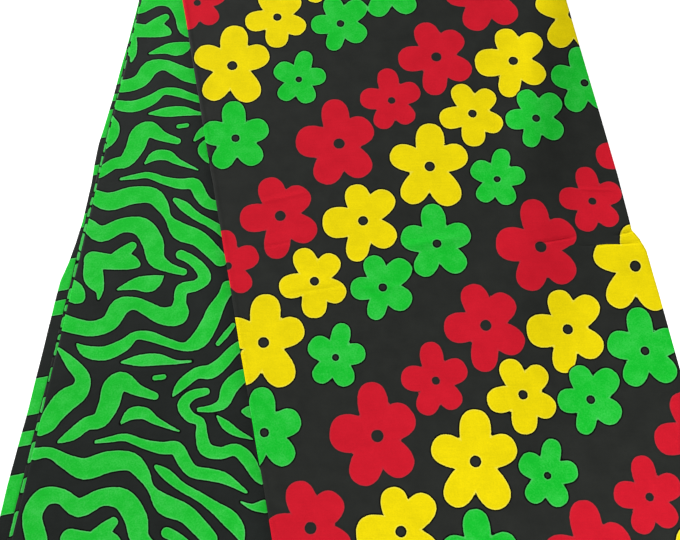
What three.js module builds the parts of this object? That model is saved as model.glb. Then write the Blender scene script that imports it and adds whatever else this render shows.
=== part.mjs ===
// African wax print cloth, lying folded on a flat surface.
// One length of cloth is doubled lengthwise, flowers on one face and stripes on the other, and is
// turned back and forth into five runs. The top turn is skewed, so the flowered run fans off the rest.
// Millimetres, +Z up, +Y away from the viewer, origin under the middle of the whole stack.
import * as THREE from 'three';

// The cut cloth and how it is folded
const CLOTH_LENGTH = 5486;
const CLOTH_WIDTH = 1190;
const RUN_COUNT = 5;
const RUN_WIDTH = CLOTH_WIDTH / 2;
const RUN_LENGTH = CLOTH_LENGTH / RUN_COUNT;

// Thickness of one doubled run, of the layers at the bottom, and the clearance between runs
const WALL = 1.2;
const HIDDEN_THICKNESS = 2.4;
const GAP = 0.3;

// The fan: the angle between the two top runs, the rise of their shared turn, the rise of the cut end
const FAN_ANGLE = THREE.MathUtils.degToRad(19.26);
const TURN_RISE = THREE.MathUtils.degToRad(1.43);
const CUT_RISE = THREE.MathUtils.degToRad(7.03);

// How the far turn bulges, and how runs slope down past the edge of what carries them
const TURN_LIFT = 2.0;
const TURN_REACH = 70;
const SLOPE_START = 8;
const SLOPE_LENGTH = { side: 130, end: 120 };
const PARTING = 1.2;

// Triangle grid of each run: cells across, round a turn, and along, with finer ones between two shares
const TURN_STEPS = 7;
const FLORAL_GRID = { columns: 33, coarse: 24, from: 0.42, to: 0.66, fine: 30 };
const ZEBRA_GRID = { columns: 18, coarse: 34, from: 0, to: 0, fine: 0 };
const THIRD_GRID = { columns: 5, coarse: 18, from: 0, to: 0, fine: 0 };
const FOURTH_GRID = { columns: 5, coarse: 16, from: 0.3, to: 0.75, fine: 24 };

// Heights of the undersides of the five runs, from the bottom up
const FOURTH_BOTTOM = HIDDEN_THICKNESS + GAP;
const THIRD_BOTTOM = FOURTH_BOTTOM + WALL + GAP;
const ZEBRA_BOTTOM = THIRD_BOTTOM + WALL + GAP;
const FLORAL_OVER_ZEBRA = WALL + GAP;

// Storage creases of the flowered run: middle, half length, turn of the line, half width and height.
// Places are from the skewed turn's left corner, x right and y away.
const FLORAL_CREASES = [
  { x: 198, y: -527, half: 52, turn: 13, width: 7, height: 0.9 },
  { x: 425, y: -587, half: 56, turn: 10, width: 7, height: 1.0 },
  { x: 566, y: -596, half: 64, turn: 10, width: 8, height: 1.3 },
  { x: 706, y: -590, half: 34, turn: 9, width: 8, height: 1.3 },
  { x: 664, y: -510, half: 44, turn: 2, width: 6, height: 0.8 },
  { x: 247, y: -667, half: 58, turn: 8, width: 7, height: 0.9 },
  { x: 345, y: -663, half: 50, turn: 4, width: 7, height: 0.7 },
  { x: 440, y: -618, half: 40, turn: 3, width: 6, height: 0.6 },
  { x: 672, y: -908, half: 46, turn: 43, width: 8, height: 0.7 },
];

// Broad swells of the flowered run, in the same columns
const FLORAL_SWELLS = [
  { x: 250, y: -210, half: 210, turn: 8, width: 60, height: 0.7 },
  { x: 520, y: -330, half: 190, turn: 9, width: 48, height: 0.6 },
  { x: 360, y: -740, half: 260, turn: 9, width: 42, height: 0.8 },
  { x: 640, y: -800, half: 120, turn: 14, width: 46, height: 0.7 },
  { x: 480, y: -950, half: 230, turn: 8, width: 52, height: 0.6 },
];

// Soft folds of the striped run, in the same columns
const ZEBRA_CREASES = [
  { x: -10, y: -300, half: 70, turn: -6, width: 22, height: 0.6 },
  { x: -30, y: -395, half: 60, turn: -9, width: 18, height: 0.7 },
  { x: -20, y: -560, half: 90, turn: -4, width: 24, height: 0.6 },
  { x: -40, y: -700, half: 80, turn: -9, width: 20, height: 0.7 },
  { x: -30, y: -860, half: 100, turn: -7, width: 26, height: 0.6 },
];

// How far the flowered run's right edge wanders out, by the distance from the far turn
const FLORAL_EDGE = [
  { along: 0, out: 0 },
  { along: 405, out: -0.9 },
  { along: 511, out: -2.6 },
  { along: 562, out: -5.2 },
  { along: 599, out: -7.4 },
  { along: 615, out: -0.2 },
  { along: 634, out: 4.5 },
  { along: 699, out: 3.9 },
  { along: 805, out: 0.7 },
  { along: 1100, out: 0 },
];

// How far the left edges of the lower runs lie outside the striped run's
const THIRD_EDGE = [
  { along: 0, out: 2.3 },
  { along: 355, out: 3.2 },
  { along: 493, out: 4.5 },
  { along: 684, out: 5.0 },
  { along: 1100, out: 5.6 },
];
const FOURTH_EDGE = [
  { along: 0, out: 4.6 },
  { along: 247, out: 5.0 },
  { along: 355, out: 7.4 },
  { along: 425, out: 9.2 },
  { along: 493, out: 12.8 },
  { along: 530, out: 11.6 },
  { along: 560, out: 9.4 },
  { along: 621, out: 9.5 },
  { along: 653, out: 11.3 },
  { along: 684, out: 15.2 },
  { along: 712, out: 20.6 },
  { along: 745, out: 21.6 },
  { along: 803, out: 20.7 },
  { along: 916, out: 21.4 },
  { along: 1000, out: 24.0 },
  { along: 1150, out: 25.5 },
];
const HIDDEN_INSET = 3.5;
const HIDDEN_FAR_INSET = 4.0;

// Where a crease fades along its length, as shares of its half, and how the striped run's folds
// fade before the flowered run covers them
const CREASE_FADE = { from: 0.55, to: 1.1 };
const COVER_FADE = { from: 10, to: 40 };

// Section of a run's two long edges: how far out, and how high as a share of the wall
const PLAIN_RIM = [
  { out: 0.5, share: 0.76 },
  { out: 0.5, share: 0.24 },
];
const LAYERED_REACH = 3.6;
const LAYERED_RIM = [
  { out: 0.6, share: 0.78 },
  { out: 0.1, share: 0.54 },
  { out: 3.0, share: 0.46 },
  { out: LAYERED_REACH, share: 0.22 },
];

// Colours of the dyed cloth, averaged over each run's print
const FINISHES = {
  floral: { color: 0x5e3a24, roughness: 0.78, metalness: 0 },
  zebra: { color: 0x2c7a37, roughness: 0.78, metalness: 0 },
  lower: { color: 0x2a6b33, roughness: 0.8, metalness: 0 },
  hidden: { color: 0x2f312f, roughness: 0.85, metalness: 0 },
};

// Directions in the plane: along the skewed turn, and down each of the two top runs
const unit = (angle) => new THREE.Vector2(Math.cos(angle), Math.sin(angle));
const DOWNWARD = -Math.PI / 2;
const TURN_DIRECTION = unit(TURN_RISE);
const FLORAL_DOWN = unit(DOWNWARD + TURN_RISE + FAN_ANGLE / 2);
const ZEBRA_DOWN = unit(DOWNWARD + TURN_RISE - FAN_ANGLE / 2);
const FLORAL_ACROSS = unit(TURN_RISE + FAN_ANGLE / 2);
const ZEBRA_ACROSS = unit(TURN_RISE - FAN_ANGLE / 2);

const along = (point, direction, distance) => point.clone().addScaledVector(direction, distance);

// Corners of the runs, from the left corner of the skewed turn
const TURN_LENGTH = RUN_WIDTH / Math.cos(FAN_ANGLE / 2);
const SKEW = TURN_LENGTH * Math.sin(FAN_ANGLE / 2);
const FAN_LEFT = new THREE.Vector2(0, 0);
const FAN_RIGHT = along(FAN_LEFT, TURN_DIRECTION, TURN_LENGTH);

const CUT_SKEW = RUN_WIDTH * Math.tan(FAN_ANGLE / 2 + TURN_RISE - CUT_RISE);
const FLORAL_LEFT_LENGTH = RUN_LENGTH + (SKEW - CUT_SKEW) / 2;
const FLORAL_RIGHT_LENGTH = RUN_LENGTH - (SKEW - CUT_SKEW) / 2;
const ZEBRA_LEFT_LENGTH = RUN_LENGTH - SKEW / 2;
const ZEBRA_RIGHT_LENGTH = RUN_LENGTH + SKEW / 2;

const ZEBRA_NEAR_LEFT = along(FAN_LEFT, ZEBRA_DOWN, ZEBRA_LEFT_LENGTH);
const LOWER_FAR_LEFT = along(ZEBRA_NEAR_LEFT, ZEBRA_DOWN, -RUN_LENGTH);

// Reads a table of offsets at a distance, with straight stretches between its rows
function offsetAt(table, distance) {
  const next = table.findIndex((row) => row.along >= distance);
  if (next < 0) {
    return table[table.length - 1].out;
  }
  if (next === 0) {
    return table[0].out;
  }
  const before = table[next - 1];
  const after = table[next];
  const share = (distance - before.along) / (after.along - before.along);
  return THREE.MathUtils.lerp(before.out, after.out, share);
}

// Height of a row of soft ridges at a place
function reliefAt(ridges, place) {
  return ridges.reduce((height, ridge) => {
    const line = unit(THREE.MathUtils.degToRad(ridge.turn));
    const dx = place.x - ridge.x;
    const dy = place.y - ridge.y;
    const lengthwise = Math.abs(dx * line.x + dy * line.y) / ridge.half;
    const sideways = (dy * line.x - dx * line.y) / ridge.width;
    const fade = 1 - THREE.MathUtils.smoothstep(lengthwise, CREASE_FADE.from, CREASE_FADE.to);
    return height + ridge.height * fade * Math.exp(-sideways * sideways);
  }, 0);
}

// Share of its full height that a run keeps at a distance past the edge of what carries it
function slopeShare(past, length) {
  return 1 - THREE.MathUtils.smoothstep(past, SLOPE_START, SLOPE_START + length);
}

// Distance of a place past a line through start, counted outward
function pastLine(place, start, outward) {
  return (place.x - start.x) * outward.x + (place.y - start.y) * outward.y;
}

// Underside of the striped run, and of the flowered run that lies on it and slopes down to the floor
function zebraUnderside(place) {
  const pastFarEnd = pastLine(place, LOWER_FAR_LEFT, ZEBRA_DOWN.clone().negate());
  return ZEBRA_BOTTOM * slopeShare(pastFarEnd, SLOPE_LENGTH.end);
}

function floralUnderside(place) {
  const carried = zebraUnderside(place);
  const parting = PARTING * (1 - carried / ZEBRA_BOTTOM);
  const onZebra = carried + FLORAL_OVER_ZEBRA + parting;
  const sideShare = slopeShare(pastLine(place, FAN_RIGHT, ZEBRA_ACROSS), SLOPE_LENGTH.side);
  const endShare = slopeShare(pastLine(place, ZEBRA_NEAR_LEFT, ZEBRA_DOWN), SLOPE_LENGTH.end);
  return onZebra * sideShare * endShare;
}

function floralRelief(place) {
  return reliefAt(FLORAL_CREASES, place) + reliefAt(FLORAL_SWELLS, place);
}

// The striped run's folds fade out before the flowered run covers them
function zebraRelief(place) {
  const toCover = -pastLine(place, FAN_LEFT, FLORAL_ACROSS);
  const shown = THREE.MathUtils.smoothstep(toCover, COVER_FADE.from, COVER_FADE.to);
  return reliefAt(ZEBRA_CREASES, place) * shown;
}

// Even steps from 0 to 1, and the rows of a grid: coarse at both ends and fine in its middle stretch
const evenShares = (count) => Array.from({ length: count + 1 }, (_, step) => step / Math.max(count, 1));

function rowShares({ coarse, from, to, fine }) {
  const head = evenShares(Math.round(coarse * from)).map((share) => share * from);
  const middle = evenShares(fine).map((share) => THREE.MathUtils.lerp(from, to, share));
  const tail = evenShares(Math.round(coarse * (1 - to))).map((share) => THREE.MathUtils.lerp(to, 1, share));
  return [...head, ...middle.slice(1), ...tail.slice(1)];
}

// Triangles that close one end of a run: strips between its top and bottom points, and its two rims
function capTriangles(run, loop) {
  const last = run.grid.columns;
  const rimCount = run.rim.length;
  const bottomOf = (column) => last + rimCount + 1 + (last - column);
  const strips = evenShares(last).slice(1).flatMap((_, column) => [
    [column, column + 1, bottomOf(column)],
    [bottomOf(column), column + 1, bottomOf(column + 1)],
  ]);
  const rightRim = Array.from({ length: rimCount + 2 }, (_, step) => last + step);
  const leftRim = [...Array.from({ length: rimCount + 1 }, (_, step) => bottomOf(0) + step), 0];
  const rims = [rightRim, leftRim].flatMap((ring) => {
    const outline = ring.map((index) => {
      const point = loop[index];
      return new THREE.Vector2(point.side > 0.5 ? point.out : -point.out, point.share * run.wall);
    });
    return THREE.ShapeUtils.triangulateShape(outline, []).map((corners) => {
      const clockwise = THREE.ShapeUtils.isClockWise(corners.map((corner) => outline[corner]));
      const ordered = clockwise ? corners : [...corners].reverse();
      return ordered.map((corner) => ring[corner]);
    });
  });
  return [...strips, ...rims];
}

// One run as a closed wall: rows of section loops along it, a turned-down end, and a cap at each end.
// A section loop goes over the top, down the right edge, back below and up the left edge.
function runGeometry(run) {
  const columns = evenShares(run.grid.columns);
  const leftRim = [...run.rim].reverse().map((point) => ({ ...point, side: 0 }));
  const rightRim = run.rim.map((point) => ({ ...point, side: 1 }));
  const loop = [
    ...columns.map((side) => ({ side, out: 0, share: 1 })),
    ...rightRim,
    ...[...columns].reverse().map((side) => ({ side, out: 0, share: 0 })),
    ...leftRim,
  ];

  // Place in the plane of a point of the loop, at a share of the way from the far to the near end
  const placeAt = (point, way) => {
    const far = run.far.left.clone().lerp(run.far.right, point.side);
    const near = run.near.left.clone().lerp(run.near.right, point.side);
    const travelled = way * far.distanceTo(near);
    const leftOut = -run.leftOut(travelled) * (1 - point.side);
    const rightOut = run.rightOut(travelled) * point.side;
    const rimOut = point.side > 0.5 ? point.out : -point.out;
    return far.lerp(near, way).addScaledVector(run.across, leftOut + rightOut + rimOut);
  };

  const flatRow = (way) => loop.map((point) => {
    const place = placeAt(point, way);
    const bottom = run.underside(place) + run.lift(way);
    const height = point.share * run.wall + (point.share === 1 ? run.relief(place) : 0);
    return new THREE.Vector3(place.x, place.y, bottom + height);
  });

  const turnRow = (angle, way) => loop.map((point) => {
    const place = placeAt(point, way);
    const centre = run.underside(place) + run.lift(way) + run.wall / 2 - run.turn.radius;
    const relief = point.share === 1 ? run.relief(place) * (1 + Math.cos(angle)) / 2 : 0;
    const radius = run.turn.radius + (point.share - 0.5) * run.wall + relief;
    const spot = along(place, run.turn.outward, radius * Math.sin(angle));
    return new THREE.Vector3(spot.x, spot.y, centre + radius * Math.cos(angle));
  });

  const rows = rowShares(run.grid).map(flatRow);
  if (run.turn) {
    const turnWay = run.turn.atFarEnd ? 0 : 1;
    const turnRows = evenShares(TURN_STEPS).slice(1).map((share) => turnRow(share * Math.PI, turnWay));
    if (run.turn.atFarEnd) {
      rows.unshift(...turnRows.reverse());
    } else {
      rows.push(...turnRows);
    }
  }

  const count = loop.length;
  const indices = [];
  for (let row = 0; row + 1 < rows.length; row += 1) {
    for (let step = 0; step < count; step += 1) {
      const here = row * count + step;
      const beside = row * count + (step + 1) % count;
      indices.push(here, here + count, beside, beside, here + count, beside + count);
    }
  }

  const lastRow = (rows.length - 1) * count;
  for (const [a, b, c] of capTriangles(run, loop)) {
    indices.push(a, b, c, lastRow + c, lastRow + b, lastRow + a);
  }

  const geometry = new THREE.BufferGeometry();
  const positions = rows.flat().flatMap((vertex) => vertex.toArray());
  geometry.setAttribute('position', new THREE.Float32BufferAttribute(positions, 3));
  geometry.setIndex(indices);
  geometry.computeVertexNormals();
  return geometry;
}

// Ends of a run that lies under the striped one, with its near and far lines square to it
function lowerEnds(farInset, nearInset) {
  const farLeft = along(LOWER_FAR_LEFT, ZEBRA_DOWN, farInset);
  const nearLeft = along(ZEBRA_NEAR_LEFT, ZEBRA_DOWN, -nearInset);
  return {
    far: { left: farLeft, right: along(farLeft, ZEBRA_ACROSS, RUN_WIDTH) },
    near: { left: nearLeft, right: along(nearLeft, ZEBRA_ACROSS, RUN_WIDTH) },
  };
}

const flatAt = (height) => () => height;
const none = () => 0;
const turnRadius = (lift) => (WALL + GAP + lift) / 2;

const floralRun = {
  name: 'floral_run',
  finish: FINISHES.floral,
  wall: WALL,
  grid: FLORAL_GRID,
  rim: PLAIN_RIM,
  across: FLORAL_ACROSS,
  far: { left: FAN_LEFT, right: FAN_RIGHT },
  near: {
    left: along(FAN_LEFT, FLORAL_DOWN, FLORAL_LEFT_LENGTH),
    right: along(FAN_RIGHT, FLORAL_DOWN, FLORAL_RIGHT_LENGTH),
  },
  leftOut: none,
  rightOut: (travelled) => offsetAt(FLORAL_EDGE, travelled),
  underside: floralUnderside,
  relief: floralRelief,
  lift: (way) => TURN_LIFT * (1 - THREE.MathUtils.smoothstep(way * RUN_LENGTH, 0, TURN_REACH)),
  turn: { atFarEnd: true, outward: FLORAL_DOWN.clone().negate(), radius: turnRadius(TURN_LIFT) },
};

const zebraRun = {
  name: 'zebra_run',
  finish: FINISHES.zebra,
  wall: WALL,
  grid: ZEBRA_GRID,
  rim: PLAIN_RIM,
  across: ZEBRA_ACROSS,
  far: {
    left: along(FAN_LEFT, ZEBRA_DOWN, GAP),
    right: along(FAN_RIGHT, ZEBRA_DOWN, GAP),
  },
  near: {
    left: ZEBRA_NEAR_LEFT,
    right: along(FAN_RIGHT, ZEBRA_DOWN, ZEBRA_RIGHT_LENGTH),
  },
  leftOut: none,
  rightOut: none,
  underside: zebraUnderside,
  relief: zebraRelief,
  lift: none,
  turn: { atFarEnd: false, outward: ZEBRA_DOWN, radius: turnRadius(0) },
};

const thirdRun = {
  name: 'third_run',
  finish: FINISHES.lower,
  wall: WALL,
  grid: THIRD_GRID,
  rim: PLAIN_RIM,
  across: ZEBRA_ACROSS,
  ...lowerEnds(0, GAP),
  leftOut: (travelled) => offsetAt(THIRD_EDGE, travelled),
  rightOut: (travelled) => -offsetAt(THIRD_EDGE, travelled),
  underside: flatAt(THIRD_BOTTOM),
  relief: none,
  lift: none,
  turn: { atFarEnd: true, outward: ZEBRA_DOWN.clone().negate(), radius: turnRadius(0) },
};

const fourthRun = {
  name: 'fourth_run',
  finish: FINISHES.lower,
  wall: WALL,
  grid: FOURTH_GRID,
  rim: PLAIN_RIM,
  across: ZEBRA_ACROSS,
  ...lowerEnds(GAP, 0),
  leftOut: (travelled) => offsetAt(FOURTH_EDGE, travelled),
  rightOut: (travelled) => -offsetAt(FOURTH_EDGE, travelled),
  underside: flatAt(FOURTH_BOTTOM),
  relief: none,
  lift: none,
  turn: { atFarEnd: false, outward: ZEBRA_DOWN, radius: (HIDDEN_THICKNESS / 2 + GAP + WALL / 2) / 2 },
};

const hiddenLayers = {
  name: 'hidden_layers',
  finish: FINISHES.hidden,
  wall: HIDDEN_THICKNESS,
  grid: FOURTH_GRID,
  rim: LAYERED_RIM,
  across: ZEBRA_ACROSS,
  ...lowerEnds(HIDDEN_FAR_INSET, GAP),
  leftOut: (travelled) => offsetAt(FOURTH_EDGE, travelled) - HIDDEN_INSET - LAYERED_REACH,
  rightOut: (travelled) => -offsetAt(FOURTH_EDGE, travelled) - LAYERED_REACH,
  underside: flatAt(0),
  relief: none,
  lift: none,
};

function runMesh(run) {
  const mesh = new THREE.Mesh(runGeometry(run), new THREE.MeshStandardMaterial(run.finish));
  mesh.name = run.name;
  return mesh;
}

const cloth = new THREE.Group();
cloth.add(...[floralRun, zebraRun, thirdRun, fourthRun, hiddenLayers].map(runMesh));

// The origin goes to the middle of the footprint, on the surface
const footprint = new THREE.Box3().setFromObject(cloth, true);
const middle = footprint.getCenter(new THREE.Vector3());
cloth.position.set(-middle.x, -middle.y, 0);

export default cloth;
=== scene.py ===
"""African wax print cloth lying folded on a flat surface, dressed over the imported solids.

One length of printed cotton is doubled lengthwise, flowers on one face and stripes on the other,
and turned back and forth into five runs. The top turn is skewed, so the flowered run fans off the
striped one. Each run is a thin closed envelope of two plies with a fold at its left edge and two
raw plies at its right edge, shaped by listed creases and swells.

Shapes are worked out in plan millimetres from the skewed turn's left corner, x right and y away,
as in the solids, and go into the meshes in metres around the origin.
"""
import logging
import math
from dataclasses import dataclass
from enum import Enum
from typing import Callable

import bpy
import numpy as np
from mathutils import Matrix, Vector


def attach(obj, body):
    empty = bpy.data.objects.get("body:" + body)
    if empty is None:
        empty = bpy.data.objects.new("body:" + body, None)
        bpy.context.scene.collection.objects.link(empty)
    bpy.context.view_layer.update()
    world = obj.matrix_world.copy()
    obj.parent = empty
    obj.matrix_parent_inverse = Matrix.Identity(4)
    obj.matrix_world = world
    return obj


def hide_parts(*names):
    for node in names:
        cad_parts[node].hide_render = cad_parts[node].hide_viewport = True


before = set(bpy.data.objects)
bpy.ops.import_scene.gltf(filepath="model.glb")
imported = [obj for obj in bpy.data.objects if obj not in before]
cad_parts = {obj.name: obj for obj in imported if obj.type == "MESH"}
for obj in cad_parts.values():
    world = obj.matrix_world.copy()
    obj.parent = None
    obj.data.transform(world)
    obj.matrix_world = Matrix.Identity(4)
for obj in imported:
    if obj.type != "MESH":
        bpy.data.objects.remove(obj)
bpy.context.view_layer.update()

log = logging.getLogger("wax_print")

MM = 0.001

# The middle of the footprint, from the skewed turn's left corner, in plan millimetres
FOOTPRINT_MIDDLE = np.array([317.006, -535.297])

# The point of the cloth under the middle of the picture, in plan millimetres
PICTURE_MIDDLE = np.array([285.6, -636.7])

# The cut cloth and how it is folded, as in the solids
CLOTH_LENGTH = 5486.0
CLOTH_WIDTH = 1190.0
RUN_WIDTH = CLOTH_WIDTH / 2
RUN_LENGTH = CLOTH_LENGTH / 5
WALL = 1.2
HIDDEN_THICKNESS = 2.4
GAP = 0.3

FAN_ANGLE = math.radians(19.26)
TURN_RISE = math.radians(1.43)
CUT_RISE = math.radians(7.03)
TURN_LIFT = 2.0
TURN_REACH = 70.0
SLOPE_START = 8.0
SIDE_SLOPE = 130.0
END_SLOPE = 120.0
PARTING = 1.2

FOURTH_BOTTOM = HIDDEN_THICKNESS + GAP
THIRD_BOTTOM = FOURTH_BOTTOM + WALL + GAP
ZEBRA_BOTTOM = THIRD_BOTTOM + WALL + GAP
HIDDEN_INSET = 3.5
HIDDEN_FAR_INSET = 4.0
LAYERED_REACH = 3.6

# A distance to the print that means plain ground
FAR_FROM_PRINT = 14.0

# How square a petal's outline is, and how much wider it grows towards its tip
PETAL_POWER = 2.25
PETAL_SPREAD = 0.16

# Half the width that the slanted flower repeat may reach outside a run
REPEAT_MARGIN = 90.0

# The length in which the bow of the printed cloth is counted
BOW_UNIT = 300.0

# On a flowered run, how far in from the fold the striped print still shows, and on the fourth run
# how far in its charted bars reach
FOLD_STRIP = 9.0
SLIPPED_STRIP = 60.0

# How far the prints of the third and fourth runs are shifted along the cloth, and how far their
# charted bars lean along the edge for each mm inward
THIRD_SHIFT = np.array([0.0, 120.0])
FOURTH_SHIFT = (40.0, 210.0)
THIRD_LEAN = 0.5
FOURTH_LEAN = 0.35

# The bead along the flowered run's fold: distance down and height, then its place and width
BEAD_HEIGHT = ((0.0, 0.5), (300.0, 0.35), (600.0, 0.25))
BEAD_PLACE = 3.5
BEAD_WIDTH = 2.4

# The brow where the flowered run starts to sink: its height, and both its place and its width
BROW_HEIGHT = 3.2
BROW_REACH = 38.0


def unit(angle: float) -> np.ndarray:
    """Unit vector in the plane at an angle in radians from +x."""
    return np.array([math.cos(angle), math.sin(angle)])


def smoothstep(value: np.ndarray, start: float, end: float) -> np.ndarray:
    """Rises from 0 at start to 1 at end as 3t^2 - 2t^3, level outside."""
    share = np.clip((value - start) / (end - start), 0.0, 1.0)
    return share * share * (3.0 - 2.0 * share)


def past_line(place: np.ndarray, start: np.ndarray, outward: np.ndarray) -> np.ndarray:
    """Distance of places past a line through start, counted along outward."""
    return (place - start) @ outward


TURN_DIRECTION = unit(TURN_RISE)
FLORAL_DOWN = unit(-math.pi / 2 + TURN_RISE + FAN_ANGLE / 2)
ZEBRA_DOWN = unit(-math.pi / 2 + TURN_RISE - FAN_ANGLE / 2)
FLORAL_ACROSS = unit(TURN_RISE + FAN_ANGLE / 2)
ZEBRA_ACROSS = unit(TURN_RISE - FAN_ANGLE / 2)

TURN_LENGTH = RUN_WIDTH / math.cos(FAN_ANGLE / 2)
SKEW = TURN_LENGTH * math.sin(FAN_ANGLE / 2)
CUT_SKEW = RUN_WIDTH * math.tan(FAN_ANGLE / 2 + TURN_RISE - CUT_RISE)
FAN_LEFT = np.zeros(2)
FAN_RIGHT = TURN_DIRECTION * TURN_LENGTH
ZEBRA_NEAR_LEFT = ZEBRA_DOWN * (RUN_LENGTH - SKEW / 2)
LOWER_FAR_LEFT = ZEBRA_NEAR_LEFT - ZEBRA_DOWN * RUN_LENGTH

# How far the flowered run's right edge wanders out, and how far the third and fourth runs' left
# edges lie outside the striped run's: distance from the far turn, then the offset, worked out
# through the camera from places on the outline
FLORAL_EDGE = ((0, 0), (405, -0.9), (511, -2.6), (562, -5.2), (599, -7.4), (615, -0.2), (634, 4.5),
               (699, 3.9), (805, 0.7), (1100, 0))
THIRD_EDGE = ((0, 2.3), (355, 3.2), (493, 4.5), (684, 5.0), (1100, 5.6))
FOURTH_EDGE = ((0, 4.6), (247, 5.0), (355, 7.4), (425, 9.2), (493, 12.8), (530, 11.6), (560, 9.4),
               (621, 9.5), (653, 11.3), (684, 15.2), (712, 20.6), (745, 21.6), (803, 20.7),
               (916, 21.4), (1000, 24.0), (1150, 25.5))


@dataclass(frozen=True)
class Ridge:
    """A crease, fold or broad swell: a ridge, or a valley where its height is below zero.

    x and y give its middle, half its half length, turn its direction in degrees, width its reach
    to each side and height how far it stands up, in millimetres.
    """

    x: float
    y: float
    half: float
    turn: float
    width: float
    height: float

    def rise(self, place: np.ndarray) -> np.ndarray:
        """Height of the ridge at places.

        Across the line it is the height times exp(-(s/width)^2), and along it it fades out before
        both ends.

        Args:
            place: Plan millimetres, last axis x and y.

        Returns:
            Millimetres above the flat cloth.
        """
        line = unit(math.radians(self.turn))
        away = place - np.array([self.x, self.y])
        lengthwise = np.abs(away @ line) / self.half
        sideways = (away[..., 1] * line[0] - away[..., 0] * line[1]) / self.width
        return self.height * (1.0 - smoothstep(lengthwise, 0.45, 1.1)) * np.exp(-(sideways**2))


def relief(ridges: tuple[Ridge, ...], place: np.ndarray) -> np.ndarray:
    """Sum of the heights of some ridges at places."""
    return sum(ridge.rise(place) for ridge in ridges)


# The tuck at the flowered run's right edge: a point of its line and the line's turn, then how far
# the print slips beyond the line and before it, and the length in which each slip fades
TUCK = np.array([680.0, -596.0])
TUCK_TURN = math.radians(2.5)
FAR_SLIP = (-3.6, 1.8)
NEAR_SLIP = (-4.0, -8.0)
FAR_SLIP_LENGTH = 120.0
NEAR_SLIP_LENGTH = 70.0

FLORAL_RIDGES = (
    # Storage creases that cross the run, as narrow valleys in low swells
    Ridge(598, -591, 36, 11, 2.2, -1.9),
    Ridge(678, -596, 52, 3, 2.2, -2.0),
    Ridge(700, -579, 17, 14, 2.4, -1.9),
    Ridge(250, -660, 72, 9, 18, 0.8),
    Ridge(250, -667, 56, 10, 2.4, -0.35),
    Ridge(200, -594, 60, 11, 16, 0.6),
    Ridge(200, -598, 38, 11, 2.3, -0.3),
    Ridge(415, -596, 56, 8, 7, 1.3),
    # Creases that stand up
    Ridge(663, -511, 34, -2, 2.2, 1.0),
    Ridge(198, -527, 52, 13, 3.4, 0.4),
    Ridge(345, -663, 50, 4, 3.6, 0.4),
    Ridge(672, -908, 46, 43, 8, 0.5),
    # Broad swells of the loose top run
    Ridge(250, -210, 210, 8, 60, 0.4),
    Ridge(520, -330, 190, 9, 48, 0.35),
    Ridge(360, -740, 260, 9, 42, 0.45),
    Ridge(640, -800, 120, 14, 46, 0.4),
    Ridge(480, -950, 230, 8, 52, 0.35),
    # The loose right side stands up at its crease and sinks away behind it
    Ridge(640, -596, 170, 8, 60, 2.4),
)

# The striped cloth's swell beside the flowered run: its reach, then distance down and height
SWELL_WIDTH = 21.0
SWELL_HEIGHT = ((0, 0.4), (280, 0.8), (480, 1.6), (600, 2.4), (1100, 2.6))

ZEBRA_RIDGES = (
    Ridge(-10, -300, 70, -6, 22, 0.4),
    Ridge(-30, -395, 60, -9, 18, 0.4),
    Ridge(-20, -560, 90, -4, 24, 0.4),
    Ridge(-50, -680, 70, -9, 18, 0.5),
    Ridge(-45, -782, 110, -6, 36, 1.6),
    Ridge(-60, -890, 90, -9, 24, 0.5),
)


def slope_share(past: np.ndarray, length: float) -> np.ndarray:
    """Share of its height that a run keeps past the edge of what carries it."""
    return 1.0 - smoothstep(past, SLOPE_START, SLOPE_START + length)


def zebra_underside(place: np.ndarray) -> np.ndarray:
    """Height of the striped run's underside, which sinks past the lower runs' far end."""
    return ZEBRA_BOTTOM * slope_share(past_line(place, LOWER_FAR_LEFT, -ZEBRA_DOWN), END_SLOPE)


def floral_underside(place: np.ndarray) -> np.ndarray:
    """Height of the flowered run's underside: one run above the striped one, sinking to the floor
    past its right edge and near end, a little further off where the striped one sinks too."""
    carried = zebra_underside(place)
    on_zebra = carried + WALL + GAP + PARTING * (1.0 - carried / ZEBRA_BOTTOM)
    side = slope_share(past_line(place, FAN_RIGHT, ZEBRA_ACROSS), SIDE_SLOPE)
    end = slope_share(past_line(place, ZEBRA_NEAR_LEFT, ZEBRA_DOWN), END_SLOPE)
    return on_zebra * side * end


def floral_relief(place: np.ndarray) -> np.ndarray:
    """Creases and swells of the flowered run, the bead that its left fold makes, and the brow
    where it starts to sink past the striped run's right edge."""
    inside = past_line(place, FAN_LEFT, FLORAL_ACROSS)
    down = past_line(place, FAN_LEFT, FLORAL_DOWN)
    bead = np.interp(down, *np.array(BEAD_HEIGHT).T)
    bead *= np.exp(-(((inside - BEAD_PLACE) / BEAD_WIDTH) ** 2))
    past = past_line(place, FAN_RIGHT, ZEBRA_ACROSS)
    brow = BROW_HEIGHT * np.exp(-(((past - BROW_REACH) / BROW_REACH) ** 2))
    brow *= smoothstep(down, 60.0, 200.0) * (1.0 - smoothstep(down, 560.0, 650.0))
    return relief(FLORAL_RIDGES, place) + bead + brow


def zebra_relief(place: np.ndarray) -> np.ndarray:
    """Folds of the striped run, which fade out before the flowered run covers them.

    Beside the flowered run's left fold the striped cloth swells up and dips down to the fold:
    height (d/w) exp(1 - d/w) for the distance d from the fold, stronger towards the near end.
    """
    beside = -past_line(place, FAN_LEFT, FLORAL_ACROSS)
    from_left = past_line(place, FAN_LEFT, ZEBRA_ACROSS)
    down = past_line(place, FAN_LEFT, ZEBRA_DOWN)
    share = np.clip(beside - 1.0, 0.0, None) / SWELL_WIDTH
    height = np.interp(down, *np.array(SWELL_HEIGHT).T) * smoothstep(from_left, 2.0, 36.0)
    swell = height * share * np.exp(1.0 - share)
    return relief(ZEBRA_RIDGES, place) * smoothstep(beside, 10.0, 40.0) + swell


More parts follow.
